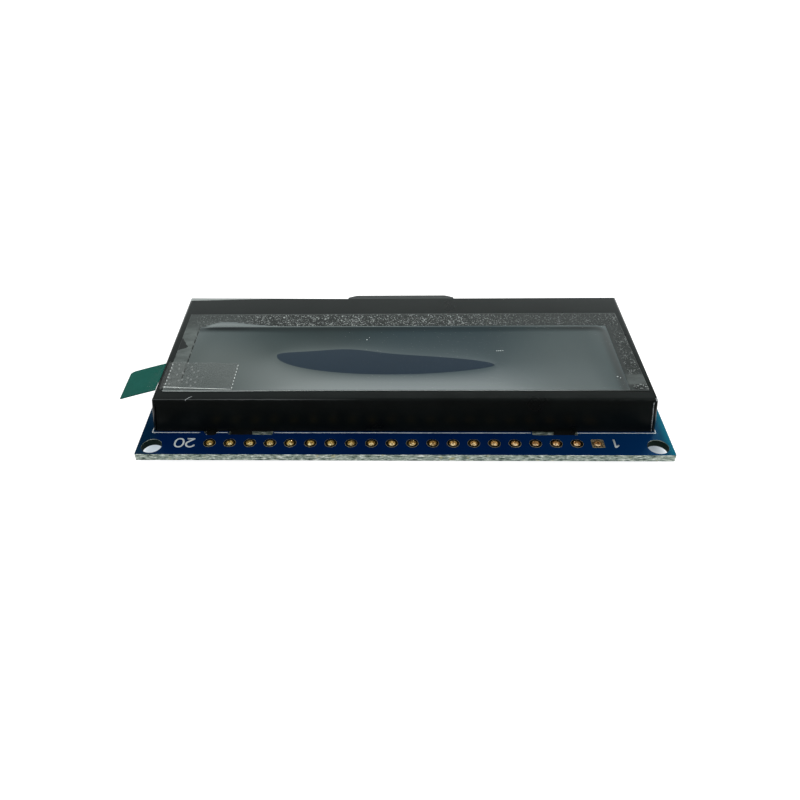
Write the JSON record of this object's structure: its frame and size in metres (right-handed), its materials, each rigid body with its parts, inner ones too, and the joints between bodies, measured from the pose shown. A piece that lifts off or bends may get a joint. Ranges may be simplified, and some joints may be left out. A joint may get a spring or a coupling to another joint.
{
  "type": "graphic lcd module",
  "caption": "Flat rectangular display module: blue circuit board with a header row and corner screw holes, under a folded black steel bezel whose window still has its protective film.",
  "frame": {"origin": "middle of the four mounting holes, on the circuit board's back face", "axes": "+X along the header row towards hole number 1, +Y from the header edge to the far edge, +Z out of the display's face"},
  "size_m": [0.0691, 0.0328, 0.0074],
  "materials": {
    "solder_mask_board": "glass-epoxy board with blue solder mask",
    "gold_plating": "immersion gold on copper",
    "black_steel": "satin black coated sheet steel",
    "polarizer_film": "smooth dark polariser",
    "display_glass": "polished",
    "silicon_chip": "polished silicon",
    "amber_flex": "polyimide film",
    "solder": "reflowed tin solder",
    "diffuser_sheet": "frosted",
    "acrylic_guide": "polished acrylic",
    "white_reflector": "white polyester",
    "white_moulding": "moulded",
    "white_strip_board": "white solder mask",
    "diode_package": "yellow phosphor in clear resin",
    "tinned_lead": "tinned",
    "double_sided_tape": "matt",
    "ceramic_capacitor": "fired ceramic with tinned ends",
    "chip_resistor": "black glaze with tinned ends",
    "clear_film": "clear protective film",
    "clear_tape": "clear adhesive tape",
    "green_tab": "green polyester strip"
  },
  "bodies": {
    "root": {"circuit_board": "solder_mask_board", "header_pads": "gold_plating", "bezel": "black_steel", "front_polarizer": "polarizer_film", "rear_polarizer": "polarizer_film", "front_glass": "display_glass", "rear_glass": "display_glass", "driver_chip": "silicon_chip", "flex_tail": "amber_flex", "flex_solder_joints": "solder", "lead_solder_joints": "solder", "diffuser_film": "diffuser_sheet", "light_guide": "acrylic_guide", "reflector_film": "white_reflector", "backlight_frame": "white_moulding", "led_board": "white_strip_board", "backlight_leds": "diode_package", "backlight_leads": "tinned_lead", "mounting_tape": "double_sided_tape", "chip_capacitors": "ceramic_capacitor", "chip_resistors": "chip_resistor", "protective_film": "clear_film", "tab_tape": "clear_tape", "pull_tab": "green_tab"}
  },
  "joints": []
}
